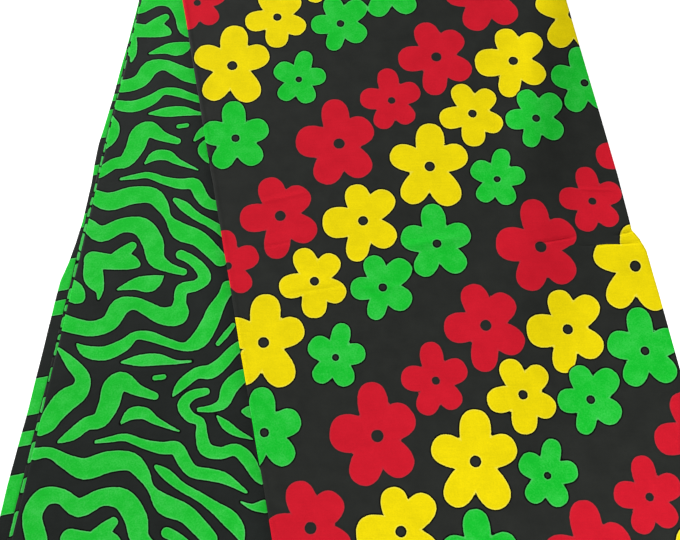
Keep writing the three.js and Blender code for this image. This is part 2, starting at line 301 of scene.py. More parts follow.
# ---- The prints, as distances in millimetres to the edge of each dyed figure ----


@dataclass(frozen=True)
class Flower:
    """One flower of the repeat: its ink, its place, the radius of its dark eye, and its petals.

    A petal is its direction in degrees, how far it reaches, and half its width, in millimetres.
    """

    ink: str
    u: float
    v: float
    eye: float
    petals: tuple[tuple[float, float, float], ...]

    def distance(self, away: np.ndarray) -> np.ndarray:
        """Distance to the flower's edge, below zero inside.

        Each petal is an egg on its own axis from the middle to the tip, |x/a|^n + |y/b|^n = 1 with
        b growing outward, and its distance is (f - 1) / |grad f| for that f. The flower is the
        least of its petals, less a round eye.

        Args:
            away: Places from the flower's middle, last axis u and v, in mm.

        Returns:
            Millimetres, one for each place.
        """
        nearest = np.full(away.shape[:-1], np.inf)
        for turn, reach, half in self.petals:
            axis = unit(math.radians(turn))
            a = reach / 2
            x = away @ axis - a
            y = away[..., 1] * axis[0] - away[..., 0] * axis[1]
            b = half * (1.0 + PETAL_SPREAD * np.clip(x / a, -1.0, 1.0))
            total = np.abs(x / a) ** PETAL_POWER + np.abs(y / b) ** PETAL_POWER + 1e-9
            f = total ** (1.0 / PETAL_POWER)
            slope = np.hypot(np.abs(x) ** (PETAL_POWER - 1) / a**PETAL_POWER,
                             np.abs(y) ** (PETAL_POWER - 1) / b**PETAL_POWER)
            grade = np.maximum(slope * total ** (1.0 / PETAL_POWER - 1.0), 1e-4)
            nearest = np.minimum(nearest, (f - 1.0) / grade)
        return np.maximum(nearest, self.eye - np.hypot(away[..., 0], away[..., 1]))


# The flower repeat: ink, place, eye, then each petal's direction, reach and half width. The petals
# were read off. The places, like the repeat's turn and steps and the bow below, came out of a
# least-squares fit to the flowers' dark eyes, and three of them were changed a little afterwards
FLOWERS = (
    Flower("yellow", -119.8, 340.2, 8.0,
           ((81, 70, 21), (17, 60, 20.5), (-67, 69, 21.5), (-129, 67, 19.5), (151, 62, 20.5))),
    Flower("green", -23.9, 307.9, 5.2,
           ((70, 50, 13.2), (4, 42, 14.6), (-73, 43, 14.6), (-136, 43, 13.6), (141, 42, 16.5))),
    Flower("red", 20.9, 195.1, 8.5,
           ((90, 74, 20.5), (29, 58, 23.5), (-58, 65, 21.5), (-118, 69, 21.5), (168, 65, 25.5))),
    Flower("red", -78.3, 89.8, 8.0,
           ((102, 63, 19.5), (42, 56, 20.5), (-40, 60, 20.5), (-102, 66, 18.5), (178, 59, 21.5))),
    Flower("red", 109.5, 258.5, 5.8,
           ((91, 55, 16), (20, 47, 17.5), (-58, 47, 15.6), (-118, 50, 15.6), (167, 48, 17.5))),
    Flower("yellow", -40.9, 419.6, 6.8,
           ((107, 53, 16.5), (44, 49, 16.5), (-36, 49, 16.5), (-97, 54, 17.5), (186, 51, 17.5))),
    Flower("yellow", 38.7, 69.4, 7.5,
           ((95, 58, 18), (40, 60, 19.5), (-45, 56, 19.5), (-108, 63, 16.5), (177, 59, 23.5))),
    Flower("green", 53.6, 399.5, 6.3,
           ((103, 50, 15.6), (40, 53, 17.5), (-42, 46, 17.5), (-113, 49, 13.2), (176, 46, 16.6))),
    Flower("green", -128.8, 218.5, 6.5,
           ((89, 62, 17.5), (17, 52, 18.5), (-55, 54, 17.5), (-125, 54, 16.5), (158, 53, 19.5))),
)


@dataclass(frozen=True)
class FlowerPrint:
    """Five-petalled flowers in three inks on a slanting half-drop repeat."""

    turn: float = math.radians(7.03)
    column: tuple[float, float] = (268.4, -196.5)
    drop: tuple[float, float] = (-0.3, -433.0)
    flowers: tuple[Flower, ...] = FLOWERS

    def middles(self, flower: Flower) -> np.ndarray:
        """Middles of one flower's copies, with the slight bow of the printed cloth.

        The bow is a fitted quadratic, a + b s + c t + d s^2 + e s t + f t^2, with s and t the
        place counted in BOW_UNIT, and a little more to the far right.
        """
        i, j = np.meshgrid(np.arange(-3, 5), np.arange(-5, 5), indexing="ij")
        u = flower.u + i * self.column[0] + j * self.drop[0]
        v = flower.v + i * self.column[1] + j * self.drop[1]
        s, t = np.clip(u / BOW_UNIT, -1.6, 1.6), np.clip(v / BOW_UNIT, -1.6, 1.6)
        bow_u = 3.5 + 3.7 * s + 0.1 * t - 4.6 * s * s + 0.8 * s * t - 4.5 * t * t
        bow_v = 0.1 - 2.7 * s + 2.7 * t + 2.9 * s * s - 6.6 * s * t - 1.2 * t * t
        bow_u += 4.0 * smoothstep(u, 330.0, 420.0)
        return np.stack([(u + bow_u).ravel(), (v + bow_v).ravel()], axis=-1)

    def distances(self, place: np.ndarray) -> dict[str, np.ndarray]:
        """Distance to the nearest flower of each ink.

        Args:
            place: Plan millimetres, shape (count, 2).

        Returns:
            One array for each ink, held at FAR_FROM_PRINT away from its flowers.
        """
        right, up = unit(self.turn), unit(self.turn + math.pi / 2)
        spot = np.stack([(place - PICTURE_MIDDLE) @ right, (place - PICTURE_MIDDLE) @ up], axis=-1)
        fields = {ink: np.full(len(spot), FAR_FROM_PRINT) for ink in ("red", "yellow", "green")}
        low, high = spot.min(axis=0) - REPEAT_MARGIN, spot.max(axis=0) + REPEAT_MARGIN
        for flower in self.flowers:
            margin = max(petal[1] for petal in flower.petals) + 8.0
            for middle in self.middles(flower):
                if np.any(middle < low) or np.any(middle > high):
                    continue
                near = np.flatnonzero(np.all(np.abs(spot - middle) < margin, axis=-1))
                if len(near):
                    found = flower.distance(spot[near] - middle)
                    layer = fields[flower.ink]
                    layer[near] = np.minimum(layer[near], np.minimum(found, FAR_FROM_PRINT))
        return fields


# The stripe repeat, read off: strokes of places and half widths in mm along each
STRIPES = (
    ((-400, 4, 14), (-409, 34, 13), (-396, 58, 12), (-372, 60, 10), (-348, 46, 12), (-318, 60, 11),
     (-290, 58, 14), (-272, 35, 15), (-265, 10, 12), (-245, -3, 7), (-224, -9, 5)),
    ((-356, 6, 13), (-330, 4, 11.5), (-306, 5, 12), (-292, 1, 5)),
    ((-326, 6, 10), (-312, 19, 9), (-301, 29, 6)),
    ((-356, 0, 12), (-352, -20, 14), (-342, -38, 6), (-342, -52, 1.5)),
    ((-316, -37, 1.5), (-290, -28, 9), (-270, -27, 12), (-253, -16, 1.5)),
    ((-385, -25, 3), (-378, -42, 14), (-370, -50, 9)),
    ((-230, 17, 7), (-215, 10, 7), (-200, -3, 8), (-193, -18, 9), (-205, -29, 8), (-224, -35, 9),
     (-226, -55, 9), (-228, -72, 15), (-250, -74, 12), (-270, -65, 10), (-290, -57, 9),
     (-310, -63, 13), (-322, -85, 12), (-345, -95, 11), (-370, -92, 11), (-392, -86, 12)),
    ((-365, -118, 1.5), (-350, -128, 8), (-325, -130, 10), (-300, -118, 9), (-285, -104, 6),
     (-265, -104, 7), (-240, -112, 6), (-215, -118, 6), (-195, -108, 12), (-182, -85, 12),
     (-175, -65, 11), (-165, -45, 8), (-158, -30, 10)),
    ((-168, -113, 3), (-158, -100, 4), (-148, -85, 3)),
    ((-300, -142, 1.5), (-275, -139, 8), (-250, -137, 8), (-225, -140, 3), (-203, -138, 1.5)),
    ((-252, -163, 3.5), (-240, -161, 3.5)),
    ((-225, -187, 1.5), (-215, -172, 7), (-195, -155, 8), (-175, -152, 10), (-160, -140, 9),
     (-148, -125, 8), (-138, -115, 7)),
    ((-390, -125, 2), (-370, -145, 8), (-352, -165, 10), (-355, -184, 13), (-372, -197, 16),
     (-386, -215, 14), (-393, -229, 12), (-402, -240, 6)),
    ((-375, -253, 2), (-358, -243, 8), (-340, -228, 9), (-322, -222, 11), (-312, -200, 14),
     (-308, -178, 15), (-296, -169, 13), (-275, -180, 8), (-250, -188, 5)),
    ((-293, -226, 1.5), (-280, -213, 8), (-262, -212, 8), (-245, -222, 5), (-213, -235, 1)),
    ((-325, -252, 2), (-305, -248, 4), (-285, -245, 5), (-260, -253, 6), (-235, -258, 8),
     (-215, -258, 9), (-203, -275, 9), (-190, -288, 8), (-165, -292, 8), (-145, -297, 7),
     (-118, -313, 2)),
    ((-180, -180, 5), (-200, -186, 7), (-210, -200, 8), (-200, -215, 7), (-185, -222, 6),
     (-182, -240, 8), (-175, -258, 9), (-155, -263, 8), (-135, -258, 8), (-118, -270, 9),
     (-105, -290, 7), (-98, -300, 3)),
    ((-188, -205, 3), (-170, -203, 5), (-155, -195, 8), (-148, -175, 11), (-135, -160, 10),
     (-125, -155, 9)),
    ((-163, -213, 1), (-150, -225, 6), (-135, -235, 5), (-113, -243, 1)),
    ((-405, -270, 8), (-385, -268, 7), (-360, -280, 10), (-335, -288, 14), (-305, -278, 14),
     (-275, -277, 12), (-257, -293, 9), (-245, -312, 5), (-226, -332, 13), (-200, -342, 12),
     (-180, -359, 11), (-165, -374, 10)),
    ((-240, -283, 3), (-225, -293, 7), (-205, -308, 6), (-180, -321, 6), (-158, -335, 8),
     (-141, -347, 11), (-129, -360, 9), (-123, -373, 4)),
    ((-125, -326, 1), (-110, -332, 4), (-94, -331, 8.5)),
    ((-127, -206, 3), (-117, -206, 9)),
)


# Where the stripes cross the thin left edges of the third and fourth runs, read off: distance
# from the lower runs' far end to each green bar's middle, and half its length, in mm. The third
# run's bars make a thin line: distance down, then its middle from the left edge and half its width
THIRD_BARS = (
    (262, 7), (287, 8), (311, 8), (333, 6), (359, 8), (387, 7), (414, 5), (428, 6), (452, 6),
    (480, 13), (502, 7), (523, 8), (537, 5), (566, 7), (588, 7), (606, 7), (630, 6), (652, 13),
    (674, 7), (696, 10), (731, 8), (752, 5), (773, 8), (795, 4), (812, 9), (848, 10), (891, 11),
    (921, 6), (956, 14), (1000, 10), (1050, 16))
FOURTH_BARS = (
    (283, 38), (362, 31), (416, 6), (461, 24), (538, 8), (618, 11), (703, 25), (754, 11), (881, 26),
    (940, 10), (1015, 26))
THIRD_LINE = ((500.0, 1.5, 1.2), (760.0, 2.9, 2.4))


def bar_distance(bars: tuple[tuple[float, float], ...], place: np.ndarray, from_left: np.ndarray,
                 slant: float, narrow: bool = False) -> np.ndarray:
    """Distance to the nearest bar across an edge: |t - middle| - half, t growing with the slant.

    Args:
        bars: Middles and half lengths.
        place: Plan millimetres, shape (count, 2).
        from_left: Distance in from the left edge.
        slant: How far a bar leans along the edge for each mm inward.
        narrow: Whether the bars are a thin line, dark on both sides.

    Returns:
        Millimetres, held at FAR_FROM_PRINT.
    """
    travelled = past_line(place, LOWER_FAR_LEFT, ZEBRA_DOWN) + slant * from_left
    rows = np.array(bars, dtype=float)
    gaps = (np.abs(travelled[:, None] - rows[:, 0]) - rows[:, 1]).min(axis=1)
    down, middle, half = np.array(THIRD_LINE).T
    thin = np.abs(from_left - np.interp(travelled, down, middle)) - np.interp(travelled, down, half)
    return np.minimum(np.maximum(gaps, thin if narrow else gaps), FAR_FROM_PRINT)


def rounded_stroke(chart: tuple[tuple[float, float, float], ...], steps: int = 4) -> np.ndarray:
    """Points of a smooth curve through charted ones.

    Each stretch is the usual cubic 0.5 (2b + (c-a) t + (2a-5b+4c-d) t^2 + (3b-a-3c+d) t^3)
    through its four neighbours, with the end points repeated.

    Args:
        chart: Places and half widths.
        steps: Points for each stretch.

    Returns:
        Rows of u, v and half width.
    """
    rows = np.array([chart[0], *chart, chart[-1]], dtype=float)
    a, b, c, d = rows[:-3], rows[1:-2], rows[2:-1], rows[3:]
    t = (np.arange(steps) / steps)[:, None, None]
    curve = 0.5 * (2 * b + (c - a) * t + (2 * a - 5 * b + 4 * c - d) * t**2
                   + (3 * b - a - 3 * c + d) * t**3)
    points = np.concatenate([curve.transpose(1, 0, 2).reshape(-1, 3), rows[-1:]])
    points[:, 2] = np.maximum(points[:, 2], 0.8)
    return points


@dataclass(frozen=True)
class StripePrint:
    """Wavering animal stripes in green on a straight repeat."""

    turn: float = math.radians(-1.4)
    across: tuple[float, float] = (322.0, -58.0)
    drop: tuple[float, float] = (7.5, -384.6)
    stretch: tuple[float, float] = (24.0, -6.0)
    offset: tuple[float, float] = (0.0, 0.0)

    def distances(self, place: np.ndarray) -> dict[str, np.ndarray]:
        """Distance to the nearest stripe.

        The cloth's slight stretch shifts the far part of the print, growing evenly with the
        distance. A stroke is the sweep of a disc whose radius follows the chart, so its distance
        is the least over its short stretches of the distance to the stretch less the radius.

        Args:
            place: Plan millimetres, shape (count, 2).

        Returns:
            One array named stripe, held at FAR_FROM_PRINT away from the strokes.
        """
        right, up = unit(self.turn), unit(self.turn + math.pi / 2)
        away = place - PICTURE_MIDDLE
        spot = np.stack([away @ right, away @ up], axis=-1) + np.array(self.offset)
        slip = (self.stretch[0] * np.clip((spot[:, 1] - 70.0) / 330.0, 0.0, 1.1)
                + 3.0 * np.clip((-spot[:, 1] - 300.0) / 60.0, 0.0, 1.0))
        drop = self.stretch[1] * np.clip((spot[:, 1] - 150.0) / 240.0, 0.0, 1.0)
        spot -= np.stack([slip, drop], axis=-1)
        found = np.full(len(spot), FAR_FROM_PRINT)
        low, high = spot.min(axis=0), spot.max(axis=0)
        for chart in STRIPES:
            stroke = rounded_stroke(chart)
            for i in range(-1, 4):
                for j in range(-3, 4):
                    shift = np.array([i * self.across[0] + j * self.drop[0],
                                      i * self.across[1] + j * self.drop[1]])
                    a, b = stroke[:-1, :2] + shift, stroke[1:, :2] + shift
                    ra, rb = stroke[:-1, 2], stroke[1:, 2]
                    reach = ra.max() + FAR_FROM_PRINT
                    bottom, top = a.min(axis=0) - reach, a.max(axis=0) + reach
                    if np.any(bottom > high) or np.any(top < low):
                        continue
                    near = np.flatnonzero(np.all((spot > bottom) & (spot < top), axis=-1))
                    if not len(near):
                        continue
                    p = spot[near][:, None, :]
                    along = b - a
                    length = np.maximum((along**2).sum(-1), 1e-9)
                    t = np.clip(((p - a) * along).sum(-1) / length, 0, 1)
                    gap = np.linalg.norm(p - (a + along * t[..., None]), axis=-1)
                    gap -= ra + (rb - ra) * t
                    found[near] = np.minimum(found[near], gap.min(axis=1))
        return {"stripe": found}


# ---- One run of the folded cloth ----


@dataclass(frozen=True)
class Section:
    """Loop of points across a run: over the top, round the right edge, back below, up the left.

    A rim row is how far out it lies in mm, and how high as a share of the wall.
    """

    top: np.ndarray
    below: int = 20
    fold: tuple[tuple[float, float], ...] = ((0.34, 0.06), (0.62, 0.27), (0.7, 0.5), (0.62, 0.75),
                                             (0.32, 0.95))
    plies: tuple[tuple[float, float], ...] = ((0.28, 0.95), (0.42, 0.78), (0.25, 0.61),
                                              (-1.1, 0.52), (0.1, 0.42), (0.5, 0.24), (0.3, 0.05))

    def loop(self) -> tuple[np.ndarray, np.ndarray, np.ndarray]:
        """Side (0 left to 1 right), distance out and share of the wall for each point."""
        under = np.linspace(1.0, 0.0, self.below + 1)
        side = np.concatenate([self.top, np.ones(len(self.plies)), under, np.zeros(len(self.fold))])
        out = np.concatenate([np.zeros(len(self.top)), [row[0] for row in self.plies],
                              np.zeros(len(under)), [-row[0] for row in self.fold]])
        share = np.concatenate([np.ones(len(self.top)), [row[1] for row in self.plies],
                                np.zeros(len(under)), [row[1] for row in self.fold]])
        return side, out, share


class End(Enum):
    """An end of a run, as the viewer sees it."""

    FAR = "far"
    NEAR = "near"


@dataclass(frozen=True)
class Turn:
    """A half ring in which a run curls down to the one below it."""

    end: End
    outward: np.ndarray
    radius: float
    steps: int = 9


def graded(*stretches: tuple[float, float, float]) -> np.ndarray:
    """Shares from 0 to 1 across or down a run, each stretch given as start, end and step in mm."""
    parts = [np.linspace(start, end, max(2, round((end - start) / step) + 1))[:-1]
             for start, end, step in stretches]
    return np.concatenate([*parts, [stretches[-1][1]]]) / stretches[-1][1]


def level(height: float) -> Callable[[np.ndarray], np.ndarray]:
    """A height that is the same everywhere."""
    return lambda place: np.full(place.shape[:-1], height)


def table_offset(table: tuple[tuple[float, float], ...], base: float = 0.0, sign: float = 1.0
                 ) -> Callable[[np.ndarray], np.ndarray]:
    """An edge offset read from a table of distance and offset, straight between its rows."""
    rows = np.array(table, dtype=float)
    return lambda travelled: sign * np.interp(travelled, rows[:, 0], rows[:, 1]) + base


def wander(size: float, phase: float) -> Callable[[np.ndarray], np.ndarray]:
    """A slight unevenness of an edge: three sines of unlike lengths, in mm."""
    return lambda travelled: size * (0.5 * np.sin(travelled / 61.0 + phase)
                                     + 0.3 * np.sin(travelled / 23.7 + 2.1 * phase)
                                     + 0.2 * np.sin(travelled / 11.3 + 3.7 * phase))


def both(first: Callable[[np.ndarray], np.ndarray], second: Callable[[np.ndarray], np.ndarray]
         ) -> Callable[[np.ndarray], np.ndarray]:
    """The sum of two offsets."""
    return lambda travelled: first(travelled) + second(travelled)


@dataclass
class FoldedRun:
    """One run of the doubled cloth, as a closed thin envelope of its two plies."""

    name: str
    node: str
    slot: str
    far: tuple[np.ndarray, np.ndarray]
    near: tuple[np.ndarray, np.ndarray]
    across: np.ndarray
    section: Section
    rows: np.ndarray
    underside: Callable[[np.ndarray], np.ndarray]
    print_on: Callable[[np.ndarray, np.ndarray], dict[str, np.ndarray]]
    relief: Callable[[np.ndarray], np.ndarray] = level(0.0)
    left_out: Callable[[np.ndarray], np.ndarray] = wander(0.0, 0.0)
    right_out: Callable[[np.ndarray], np.ndarray] = wander(0.0, 0.0)
    lift: float = 0.0
    turn: Turn | None = None
    wall: float = WALL
    rests_on: tuple[str, ...] = ()

    def place_rows(self) -> tuple[np.ndarray, np.ndarray, np.ndarray, np.ndarray]:
        """Places of the section loops down the run.

        A place is far + (near - far) way + across times the edge offsets, the left one fading to
        nothing at the right edge and the right one at the left. Flat rows stand at the underside,
        with the wall and the relief above it. Turn rows go round a half ring below the end row.

        Returns:
            Places (rows, loop, 3), print places (rows, loop, 2), distances across and along (rows,
            loop), all in mm.
        """
        side, rim_out, share = self.section.loop()
        way = self.rows[:, None]
        far = self.far[0] + (self.far[1] - self.far[0]) * side[:, None]
        near = self.near[0] + (self.near[1] - self.near[0]) * side[:, None]
        length = np.linalg.norm(near - far, axis=-1)
        travelled = way * length
        out = self.right_out(travelled) * side - self.left_out(travelled) * (1 - side) + rim_out
        plan = far + (near - far) * way[..., None] + self.across * out[..., None]

        lift = self.lift * (1.0 - smoothstep(way * RUN_LENGTH, 0.0, TURN_REACH))
        bottom = self.underside(plan) + lift
        bump = self.relief(plan) * share
        flat = np.concatenate([plan, (bottom + share * self.wall + bump)[..., None]], axis=-1)

        below = share == 0
        on_left = side < 0.5
        wrap = np.pi / 2 * self.wall * (1 - share)
        width = np.linalg.norm(self.far[1] - self.far[0])
        over = side * width * np.where(below, -1.0, 1.0)
        over += np.where(on_left, -wrap, np.where(below, 0.0, wrap))
        ink_place = plan + self.across * np.where(on_left, -wrap, 0.0)[..., None]
        across = np.broadcast_to(over, travelled.shape)

        if self.turn is None:
            return flat, ink_place, across, travelled
        at_far = self.turn.end is End.FAR
        row = 0 if at_far else -1
        angle = np.linspace(0.0, np.pi, self.turn.steps + 1)[1:, None]
        edge = np.broadcast_to(plan[row], (len(angle), *plan[row].shape))
        radius = self.turn.radius + (share - 0.5) * self.wall + bump[row] * (1 + np.cos(angle)) / 2
        centre = bottom[row] + self.wall / 2 - self.turn.radius
        spot = edge + self.turn.outward * (radius * np.sin(angle))[..., None]
        ring = np.concatenate([spot, (centre + radius * np.cos(angle))[..., None]], axis=-1)
        arc = self.turn.radius * angle
        ring_ink = np.broadcast_to(ink_place[row], edge.shape) + self.turn.outward * arc[..., None]
        ring_along = travelled[row] + (-arc if at_far else arc) + 0.0 * side
        ring_across = np.broadcast_to(over, ring_along.shape)
        pairs = ((ring, flat), (ring_ink, ink_place), (ring_across, across),
                 (ring_along, travelled))
        if at_far:
            return tuple(np.concatenate([curl[::-1], run]) for curl, run in pairs)
        return tuple(np.concatenate([run, curl]) for curl, run in pairs)

    def faces(self, row_count: int) -> tuple[np.ndarray, list[list[int]]]:
        """Quads between neighbouring loops, and the faces that close both ends.

        Args:
            row_count: How many loops there are.

        Returns:
            Quads (count, 4), and lists of corners of the end faces.
        """
        top, rim, below = len(self.section.top), len(self.section.plies), self.section.below + 1
        count = top + rim + below + len(self.section.fold)
        starts = np.arange(row_count - 1)[:, None] * count
        here = (starts + np.arange(count)).ravel()
        beside = (starts + (np.arange(count) + 1) % count).ravel()
        quads = np.stack([here, here + count, beside + count, beside], axis=-1)

        over = np.arange(top)
        under = (top + rim + below - 1) - np.arange(below)
        owner = np.rint(np.linspace(0, below - 1, top)).astype(int)
        strip = np.stack([over[:-1], over[1:], under[owner[:-1]]], axis=-1)
        steps = np.flatnonzero(owner[1:] != owner[:-1])
        strip = np.concatenate([strip, np.stack([over[steps + 1], under[owner[steps + 1]],
                                                 under[owner[steps]]], axis=-1)])
        right = list(range(top - 1, top + rim + 1))
        left = [*range(top + rim + below - 1, count), 0]
        ends = [*strip.tolist(), right, left]
        last = (row_count - 1) * count
        closing = [*ends, *[[last + corner for corner in reversed(face)] for face in ends]]
        return quads, closing

    def build(self) -> bpy.types.Object:
        """Makes the run's mesh object, with its print distances and its cloth map.

        Returns:
            The object, at the origin.
        """
        places, ink_places, across, along = self.place_rows()
        rows, loop = places.shape[:2]
        quads, closing = self.faces(rows)
        points = places.reshape(-1, 3).copy()
        points[:, :2] -= FOOTPRINT_MIDDLE
        mesh = bpy.data.meshes.new(self.name)
        mesh.from_pydata((points * MM).tolist(), [], [*quads.tolist(), *closing])
        mesh.polygons.foreach_set("use_smooth", np.ones(len(mesh.polygons), dtype=bool))
        mesh.set_sharp_from_angle(angle=math.radians(50))

        side, _, share = self.section.loop()
        shown = np.broadcast_to(share > 0, (rows, loop)).ravel()
        from_left = np.broadcast_to(side * RUN_WIDTH, (rows, loop)).ravel()
        flat_places = ink_places.reshape(-1, 2)
        inks = self.print_on(flat_places, from_left)
        for ink in ("red", "yellow", "green", "stripe"):
            values = inks.get(ink, np.full(len(points), FAR_FROM_PRINT))
            attribute = mesh.attributes.new(f"{ink}_mm", "FLOAT", "POINT")
            values = np.where(shown, values, FAR_FROM_PRINT).astype(np.float32)
            attribute.data.foreach_set("value", values)

        corners = np.empty(len(mesh.loops), dtype=np.int32)
        mesh.loops.foreach_get("vertex_index", corners)
        cloth_map = np.stack([across.ravel(), -along.ravel()], axis=-1) * MM
        mesh.uv_layers.new(name="cloth").data.foreach_set(
            "uv", cloth_map[corners].astype(np.float32).ravel())
        piece = bpy.data.objects.new(self.name, mesh)
        bpy.context.scene.collection.objects.link(piece)
        return piece

    def dress(self, material: bpy.types.Material) -> bpy.types.Object:
        """Args:
            material: The run's printed or dyed cotton.

        Returns:
            The finished piece.
        """
        piece = self.build()
        piece.data.materials.append(material)
        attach(piece, "root")
        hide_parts(self.node)
        log.info("%s: %d faces", piece.name, len(piece.data.polygons))
        return piece


def flower_inks(place: np.ndarray, from_left: np.ndarray) -> dict[str, np.ndarray]:
    """Flowers on the whole run, broken where the tuck at the right takes cloth in.

    Past the tuck's line the print slips by a few mm, fading as exp(-distance / length).
    """
    past = past_line(place, TUCK, unit(math.pi / 2 + TUCK_TURN))
    share = smoothstep(place[:, 0], 590.0, 680.0)
    above = smoothstep(past, -1.5, 1.5)
    far_fade = above * np.exp(-np.abs(past) / FAR_SLIP_LENGTH)
    near_fade = (1.0 - above) * np.exp(-np.abs(past) / NEAR_SLIP_LENGTH)
    far_slip = np.outer(share * far_fade, FAR_SLIP)
    near_slip = np.outer(share * near_fade, NEAR_SLIP)
    return FlowerPrint().distances(place + far_slip + near_slip)


def stripe_inks(place: np.ndarray, from_left: np.ndarray) -> dict[str, np.ndarray]:
    """Stripes on the whole run."""
    return StripePrint().distances(place)


def third_inks(place: np.ndarray, from_left: np.ndarray) -> dict[str, np.ndarray]:
    """Flowers, with stripes on the fold's last millimetres, where the two prints meet."""
    striped = from_left < FOLD_STRIP
    inks = FlowerPrint().distances(place + THIRD_SHIFT)
    inks = {ink: np.where(striped, FAR_FROM_PRINT, values) for ink, values in inks.items()}
    stripes = bar_distance(THIRD_BARS, place, from_left, THIRD_LEAN, True)
    return {**inks, "stripe": np.where(striped, stripes, FAR_FROM_PRINT)}


def fourth_inks(place: np.ndarray, from_left: np.ndarray) -> dict[str, np.ndarray]:
    """Stripes of the run that has slipped out at the left."""
    edge = bar_distance(FOURTH_BARS, place, from_left, FOURTH_LEAN)
    stripes = StripePrint(offset=FOURTH_SHIFT).distances(place)["stripe"]
    return {"stripe": np.where(from_left < SLIPPED_STRIP, edge, stripes)}


def no_inks(place: np.ndarray, from_left: np.ndarray) -> dict[str, np.ndarray]:
    """Plain ground, on the layers that only show their edges."""
    return {}


def lower_ends(far_inset: float, near_inset: float
               ) -> tuple[tuple[np.ndarray, np.ndarray], tuple[np.ndarray, np.ndarray]]:
    """Ends of a run under the striped one, square to it.

    Args:
        far_inset: How far its far end lies inside the lower runs' far line.
        near_inset: The same at the near end.

    Returns:
        Far left and right corners, and near left and right corners.
    """
    far_left = LOWER_FAR_LEFT + ZEBRA_DOWN * far_inset
    near_left = ZEBRA_NEAR_LEFT - ZEBRA_DOWN * near_inset
    wide = ZEBRA_ACROSS * RUN_WIDTH
    return (far_left, far_left + wide), (near_left, near_left + wide)


def even_rows(step: float) -> np.ndarray:
    """Shares down a run in even steps of about so many mm."""
    return np.linspace(0.0, 1.0, round(RUN_LENGTH / step) + 1)


def flowered_run() -> FoldedRun:
    """The top run, flowers up, with its skewed far turn and its two cut plies at the near end."""
    turn_shift = (SKEW - CUT_SKEW) / 2
    return FoldedRun(
        name="flowered_cloth", node="floral_run", slot="flower_print",
        far=(FAN_LEFT, FAN_RIGHT),
        near=(FLORAL_DOWN * (RUN_LENGTH + turn_shift),
              FAN_RIGHT + FLORAL_DOWN * (RUN_LENGTH - turn_shift)),
        across=FLORAL_ACROSS,
        section=Section(top=graded((0, 12, 1.5), (12, RUN_WIDTH, 3.1))),
        rows=graded((0, 505, 3.4), (505, 700, 1.5), (700, RUN_LENGTH, 3.4)),
        underside=floral_underside,
        print_on=flower_inks,
        relief=floral_relief,
        left_out=wander(0.5, 0.7),
        right_out=table_offset(FLORAL_EDGE),
        lift=TURN_LIFT,
        turn=Turn(End.FAR, -FLORAL_DOWN, (WALL + GAP + TURN_LIFT) / 2),
        rests_on=("striped_cloth",))


def striped_run() -> FoldedRun:
    """The second run, stripes up, with its near turn."""
    return FoldedRun(
        name="striped_cloth", node="zebra_run", slot="zebra_print",
        far=(FAN_LEFT + ZEBRA_DOWN * GAP, FAN_RIGHT + ZEBRA_DOWN * GAP),
        near=(ZEBRA_NEAR_LEFT, FAN_RIGHT + ZEBRA_DOWN * (RUN_LENGTH + SKEW / 2)),
        across=ZEBRA_ACROSS,
        section=Section(top=graded((0, 370, 2.5), (370, RUN_WIDTH, 4.5))),
        rows=even_rows(2.7),
        underside=zebra_underside,
        print_on=stripe_inks,
        relief=zebra_relief,
        left_out=wander(0.8, 1.9),
        turn=Turn(End.NEAR, ZEBRA_DOWN, (WALL + GAP) / 2),
        rests_on=("third_cloth",))


def third_run() -> FoldedRun:
    """The third run, flowers up, of which a thin edge and a strip at the far end show."""
    far, near = lower_ends(0.0, GAP)
    return FoldedRun(
        name="third_cloth", node="third_run", slot="flower_print", far=far, near=near,
        across=ZEBRA_ACROSS,
        section=Section(top=graded((0, 12, 1.5), (12, RUN_WIDTH, 6.0))),
        rows=even_rows(3.2),
        underside=level(THIRD_BOTTOM),
        print_on=third_inks,
        left_out=both(table_offset(THIRD_EDGE), wander(0.9, 3.1)),
        right_out=table_offset(THIRD_EDGE, sign=-1.0),
        turn=Turn(End.FAR, -ZEBRA_DOWN, (WALL + GAP) / 2),
        rests_on=("fourth_cloth",))


def fourth_run() -> FoldedRun:
    """The fourth run, stripes up, slipped out at the left."""
    far, near = lower_ends(GAP, 0.0)
    return FoldedRun(
        name="fourth_cloth", node="fourth_run", slot="zebra_print", far=far, near=near,
        across=ZEBRA_ACROSS,
        section=Section(top=graded((0, 42, 2.1), (42, RUN_WIDTH, 16.0))),
        rows=even_rows(2.8),
        underside=level(FOURTH_BOTTOM),
        print_on=fourth_inks,
        left_out=both(table_offset(FOURTH_EDGE), wander(0.7, 5.3)),
        right_out=table_offset(FOURTH_EDGE, sign=-1.0),
        turn=Turn(End.NEAR, ZEBRA_DOWN, (HIDDEN_THICKNESS / 2 + GAP + WALL / 2) / 2),
        rests_on=("bottom_layers",))


def bottom_layers() -> FoldedRun:
    """The fifth run and what lies under, of which only the layered edges show."""
    far, near = lower_ends(HIDDEN_FAR_INSET, GAP)
    return FoldedRun(
        name="bottom_layers", node="hidden_layers", slot="black_ground", far=far, near=near,
        across=ZEBRA_ACROSS,
        section=Section(
            top=graded((0, RUN_WIDTH, 30.0)), below=20,
            fold=((3.4, 0.03), (3.6, 0.22), (3.0, 0.43), (0.1, 0.5), (0.6, 0.72), (0.4, 0.95)),
            plies=((0.4, 0.95), (0.6, 0.72), (0.1, 0.5), (3.0, 0.43), (3.6, 0.22), (3.4, 0.03))),
        rows=even_rows(12.0),
        underside=level(0.0),
        print_on=no_inks,
        left_out=table_offset(FOURTH_EDGE, base=-HIDDEN_INSET - LAYERED_REACH),
        right_out=table_offset(FOURTH_EDGE, base=-LAYERED_REACH, sign=-1.0),
        wall=HIDDEN_THICKNESS)


# ---- Finishes ----


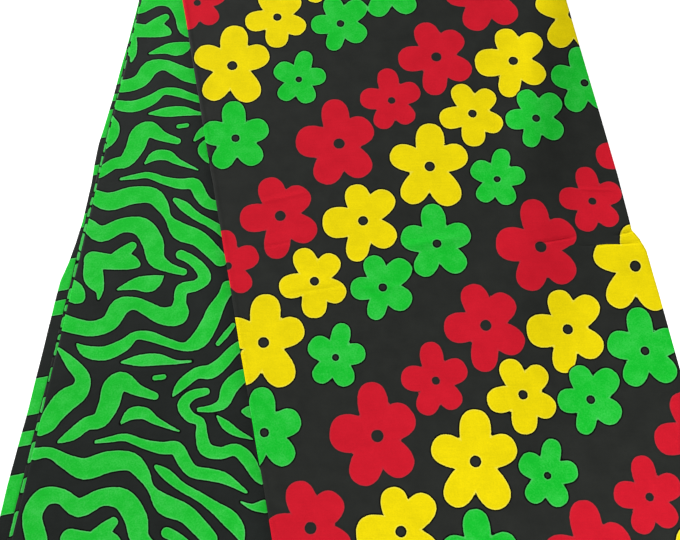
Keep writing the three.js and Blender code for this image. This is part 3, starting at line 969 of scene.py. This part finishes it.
def linear(code: str) -> tuple[float, float, float, float]:
    """Linear colour of an sRGB hex code: c/12.92 near black, else ((c+0.055)/1.055)^2.4."""
    values = [int(code[start:start + 2], 16) / 255 for start in (1, 3, 5)]
    straight = [v / 12.92 if v <= 0.04045 else ((v + 0.055) / 1.055) ** 2.4 for v in values]
    return (*straight, 1.0)


def add_node(tree: bpy.types.NodeTree, kind: str, settings: dict[str, object] | None = None,
             sockets: dict[str | int, object] | None = None) -> bpy.types.Node:
    """Adds a node to a material.

    Args:
        tree: The material's nodes.
        kind: The node's type name.
        settings: Properties to set.
        sockets: For each input, an output to link from or a value to set.

    Returns:
        The new node.
    """
    node = tree.nodes.new(kind)
    for name, value in (settings or {}).items():
        setattr(node, name, value)
    for name, value in (sockets or {}).items():
        if isinstance(value, bpy.types.NodeSocket):
            tree.links.new(value, node.inputs[name])
        else:
            node.inputs[name].default_value = value
    return node


@dataclass(frozen=True)
class Ink:
    """One printed colour: attribute, body, paler rim inside, black rim outside, blotchy fading."""

    attribute: str
    body: str
    rim: str
    rim_share: float
    outline: float
    fade: float


# Reactive and naphthol dyes printed over indigo-black, as on wax print: strong, flat and matt
RED = Ink("red_mm", "#be1426", "#a22f3a", 0.45, 0.2, 0.06)
YELLOW = Ink("yellow_mm", "#dcc801", "#e8de52", 0.55, 1.0, 0.0)
GREEN = Ink("green_mm", "#10b32a", "#5ebf70", 0.4, 1.0, 0.26)
STRIPE_GREEN = Ink("stripe_mm", "#18b32d", "#66c276", 0.44, 1.0, 0.26)


@dataclass(frozen=True)
class WaxPrintCotton:
    """Plain-weave cotton, dyed black and printed: matt, with a faint waxed sheen.

    The threads lie 0.36 mm apart, too fine to show, so the weave is drawn at 1.4 mm.
    """

    name: str
    inks: tuple[Ink, ...]
    ground: str = "#272926"
    deep: str = "#1e201e"
    thread: float = 0.0014
    roughness: float = 0.55
    ink_roughness: float = 0.9
    gloss: float = 0.07

    def material(self) -> bpy.types.Material:
        """Makes the material.

        Each ink's distance, roughened a little by noise, becomes a mask with a narrow soft edge.
        The ground goes a little darker just outside a figure and the ink paler just inside it.
        Two waves across each other lift the weave, and long noise along the threads the slubs.
        """
        material = bpy.data.materials.new(self.name)
        material.use_nodes = True
        tree = material.node_tree
        tree.nodes.clear()
        cloth = add_node(tree, "ShaderNodeUVMap", {"uv_map": "cloth"}).outputs["UV"]

        edge = add_node(tree, "ShaderNodeTexNoise", None,
                        {"Vector": cloth, "Scale": 160.0, "Detail": 3.0, "Roughness": 0.6})
        uneven = add_node(tree, "ShaderNodeMapRange", None,
                          {"Value": edge.outputs["Fac"], "To Min": -0.7, "To Max": 0.7}
                          ).outputs["Result"]

        mottle = add_node(tree, "ShaderNodeTexNoise", None,
                          {"Vector": cloth, "Scale": 34.0, "Detail": 5.0, "Roughness": 0.62})
        grain = add_node(tree, "ShaderNodeTexNoise", None,
                         {"Vector": cloth, "Scale": 420.0, "Detail": 3.0, "Roughness": 0.7}
                         ).outputs["Fac"]
        blots = add_node(tree, "ShaderNodeMath", {"operation": "ADD"},
                         {0: grain, 1: mottle.outputs["Fac"]}).outputs[0]
        colour = add_node(tree, "ShaderNodeMix", {"data_type": "RGBA"},
                          {0: mottle.outputs["Fac"], 6: linear(self.deep), 7: linear(self.ground)}
                          ).outputs[2]
        bare = 1.0
        for ink in self.inks:
            distance = add_node(tree, "ShaderNodeAttribute",
                                {"attribute_type": "GEOMETRY", "attribute_name": ink.attribute})
            rough = add_node(tree, "ShaderNodeMath", {"operation": "ADD"},
                             {0: distance.outputs["Fac"], 1: uneven}).outputs[0]
            halo = add_node(tree, "ShaderNodeMapRange", {"interpolation_type": "SMOOTHSTEP"},
                            {"Value": rough, "From Min": 1.4, "From Max": 2.7,
                             "To Min": ink.outline, "To Max": 0.0}).outputs["Result"]
            colour = add_node(tree, "ShaderNodeMix", {"data_type": "RGBA"},
                              {0: halo, 6: colour, 7: linear("#020302")}).outputs[2]
            depth = add_node(tree, "ShaderNodeMapRange", {"interpolation_type": "SMOOTHSTEP"},
                             {"Value": rough, "From Min": -2.2, "From Max": -0.4,
                              "To Min": 0.0, "To Max": ink.rim_share}).outputs["Result"]
            faded = add_node(tree, "ShaderNodeMapRange", None,
                             {"Value": blots, "From Min": 0.92, "From Max": 1.3,
                              "To Min": 0.0, "To Max": ink.fade}).outputs["Result"]
            paler = add_node(tree, "ShaderNodeMath", {"operation": "ADD", "use_clamp": True},
                             {0: depth, 1: faded}).outputs[0]
            body = add_node(tree, "ShaderNodeMix", {"data_type": "RGBA"},
                            {0: paler, 6: linear(ink.body), 7: linear(ink.rim)}).outputs[2]
            mask = add_node(tree, "ShaderNodeMapRange", {"interpolation_type": "SMOOTHSTEP"},
                            {"Value": rough, "From Min": 0.35, "From Max": -0.35}).outputs["Result"]
            colour = add_node(tree, "ShaderNodeMix", {"data_type": "RGBA"},
                              {0: mask, 6: colour, 7: body}).outputs[2]
            covered = add_node(tree, "ShaderNodeMath", {"operation": "MAXIMUM"}, {0: mask, 1: halo})
            uncovered = add_node(tree, "ShaderNodeMath", {"operation": "SUBTRACT"},
                                 {0: 1.0, 1: covered.outputs[0]})
            bare = add_node(tree, "ShaderNodeMath", {"operation": "MULTIPLY"},
                            {0: bare, 1: uncovered.outputs[0]}).outputs[0]
        matt = self.roughness if not self.inks else add_node(
            tree, "ShaderNodeMapRange", None,
            {"Value": bare, "To Min": self.ink_roughness, "To Max": self.roughness}
            ).outputs["Result"]

        warp, weft = (add_node(tree, "ShaderNodeTexWave", {"bands_direction": direction},
                               {"Vector": cloth, "Scale": math.pi / 10 / self.thread,
                                "Distortion": 0.6, "Detail": 1.0, "Detail Scale": 0.6}
                               ).outputs["Fac"] for direction in ("X", "Y"))
        weave = add_node(tree, "ShaderNodeMath", {"operation": "MULTIPLY"},
                         {0: warp, 1: weft}).outputs[0]
        streak_map = add_node(tree, "ShaderNodeMapping", None,
                              {"Vector": cloth, "Scale": (30.0, 420.0, 1.0)}).outputs["Vector"]
        slub = add_node(tree, "ShaderNodeTexNoise", None,
                        {"Vector": streak_map, "Scale": 1.0, "Detail": 3.0}).outputs["Fac"]
        tone = add_node(tree, "ShaderNodeMath", {"operation": "MULTIPLY_ADD"},
                        {0: slub, 1: 0.35, 2: blots})
        shade = add_node(tree, "ShaderNodeMapRange", None,
                         {"Value": tone.outputs[0], "From Min": 0.8, "From Max": 1.55,
                          "To Min": 0.84, "To Max": 1.08}).outputs["Result"]
        worn = add_node(tree, "ShaderNodeMix", {"data_type": "RGBA", "blend_type": "MULTIPLY"},
                        {0: 1.0, 6: colour, 7: shade}).outputs[2]
        lint = add_node(tree, "ShaderNodeTexVoronoi", None, {"Vector": cloth, "Scale": 13.0})
        fleck = add_node(tree, "ShaderNodeMapRange", None,
                         {"Value": lint.outputs["Distance"], "From Min": 0.014,
                          "From Max": 0.006}).outputs["Result"]
        worn = add_node(tree, "ShaderNodeMix", {"data_type": "RGBA"},
                        {0: fleck, 6: worn, 7: linear("#a9aca6")}).outputs[2]

        crumple = add_node(tree, "ShaderNodeTexNoise", None,
                           {"Vector": cloth, "Scale": 26.0, "Detail": 4.0, "Roughness": 0.5}
                           ).outputs["Fac"]
        low_bump = add_node(tree, "ShaderNodeBump", None,
                            {"Strength": 1.0, "Distance": 0.0006, "Height": crumple}
                            ).outputs["Normal"]
        bump = add_node(tree, "ShaderNodeBump", None,
                        {"Strength": 0.5, "Distance": 0.00012, "Height": weave, "Normal": low_bump})
        surface = add_node(tree, "ShaderNodeBsdfPrincipled", None,
                           {"Base Color": worn, "Roughness": matt, "Specular IOR Level": self.gloss,
                            "Normal": bump.outputs["Normal"]})
        add_node(tree, "ShaderNodeOutputMaterial", None, {"Surface": surface.outputs["BSDF"]})
        return material


@dataclass(frozen=True)
class PaleFloor:
    """Opal white board, lit a little from below, which keeps the cloth's outline free of shade."""

    colour: str = "#fbfbfa"
    roughness: float = 0.9
    glow: float = 0.6

    def material(self) -> bpy.types.Material:
        """Makes the material: an even white with a faint glow."""
        material = bpy.data.materials.new("white_board")
        material.use_nodes = True
        surface = material.node_tree.nodes["Principled BSDF"]
        surface.inputs["Base Color"].default_value = linear(self.colour)
        surface.inputs["Roughness"].default_value = self.roughness
        surface.inputs["Specular IOR Level"].default_value = 0.1
        surface.inputs["Emission Color"].default_value = linear(self.colour)
        surface.inputs["Emission Strength"].default_value = self.glow
        return material


@dataclass(frozen=True)
class Studio:
    """Pale floor, soft lights and the camera at the photograph's angle."""

    focal_pixels: float = 900.0
    picture_width: float = 680.0
    sensor: float = 36.0
    distance: float = 1292.1
    elevation: float = 72.95
    target_height: float = 6.0

    def target(self) -> Vector:
        """The cloth's point in the middle of the picture, in metres."""
        spot = (PICTURE_MIDDLE - FOOTPRINT_MIDDLE) * MM
        return Vector((spot[0], spot[1], self.target_height * MM))

    def place_camera(self) -> None:
        """Stands the camera on the line of sight, looking at the target, with no shift."""
        data = bpy.data.cameras.new("camera")
        data.sensor_width = self.sensor
        data.lens = self.focal_pixels / self.picture_width * self.sensor
        data.clip_start, data.clip_end = 0.01, 20.0
        camera = bpy.data.objects.new("camera", data)
        angle = math.radians(self.elevation)
        back = Vector((0.0, -math.cos(angle), math.sin(angle)))
        camera.location = self.target() + back * self.distance * MM
        camera.rotation_euler = (math.pi / 2 - angle, 0.0, 0.0)
        bpy.context.scene.collection.objects.link(camera)
        bpy.context.scene.camera = camera

    def add_light(self, name: str, place: tuple[float, float, float], size: float,
                  power: float) -> None:
        """Hangs a square soft light that faces the cloth.

        Args:
            name: The light's name.
            place: Its middle in metres.
            size: The length of a side in metres.
            power: Watts.
        """
        data = bpy.data.lights.new(name, "AREA")
        data.size = size
        data.energy = power
        light = bpy.data.objects.new(name, data)
        light.location = place
        light.rotation_euler = (self.target() - Vector(place)).to_track_quat("-Z", "Y").to_euler()
        bpy.context.scene.collection.objects.link(light)

    def build(self) -> None:
        """Makes the floor, the lights, the surrounding light and the camera."""
        side = 6.0
        floor_mesh = bpy.data.meshes.new("floor")
        corners = [(-side, -side, 0), (side, -side, 0), (side, side, 0), (-side, side, 0)]
        floor_mesh.from_pydata(corners, [], [(0, 1, 2, 3)])
        floor_mesh.materials.append(PaleFloor().material())
        floor = bpy.data.objects.new("floor", floor_mesh)
        bpy.context.scene.collection.objects.link(floor)

        world = bpy.data.worlds.new("studio")
        world.use_nodes = True
        world.node_tree.nodes["Background"].inputs["Color"].default_value = (1.0, 1.0, 1.0, 1.0)
        world.node_tree.nodes["Background"].inputs["Strength"].default_value = 0.25
        bpy.context.scene.world = world
        self.add_light("left_key", (-4.8, 3.5, 1.6), 2.4, 840.0)
        self.add_light("near_fill", (1.0, -1.6, 0.9), 0.9, 14.0)
        self.add_light("near_right", (0.9, -1.2, 0.5), 0.6, 8.5)
        self.add_light("far_window", (-0.7, 1.6, 1.9), 1.2, 9.0)
        self.add_light("overhead", (0.2, -0.6, 2.5), 2.4, 7.0)
        bpy.context.scene.view_settings.view_transform = "Standard"
        self.place_camera()


def main() -> None:
    """Builds the studio and the cloth's runs from the bottom up."""
    logging.basicConfig(level=logging.INFO, format="%(name)s %(message)s")
    Studio().build()
    flowers = WaxPrintCotton("flower_printed_cotton", (RED, YELLOW, GREEN, STRIPE_GREEN)).material()
    # The striped cotton's black ground is a darker copy of the flowered one's: painted shade that
    # evens out the key light, which falls more strongly on the striped runs
    stripes = WaxPrintCotton("stripe_printed_cotton", (STRIPE_GREEN,),
                             "#1f2321", "#191c1a").material()
    plain = WaxPrintCotton("black_dyed_cotton", ()).material()
    for run, material in ((bottom_layers(), plain), (fourth_run(), stripes), (third_run(), flowers),
                          (striped_run(), stripes), (flowered_run(), flowers)):
        run.dress(material)


if __name__ == "__main__":
    main()
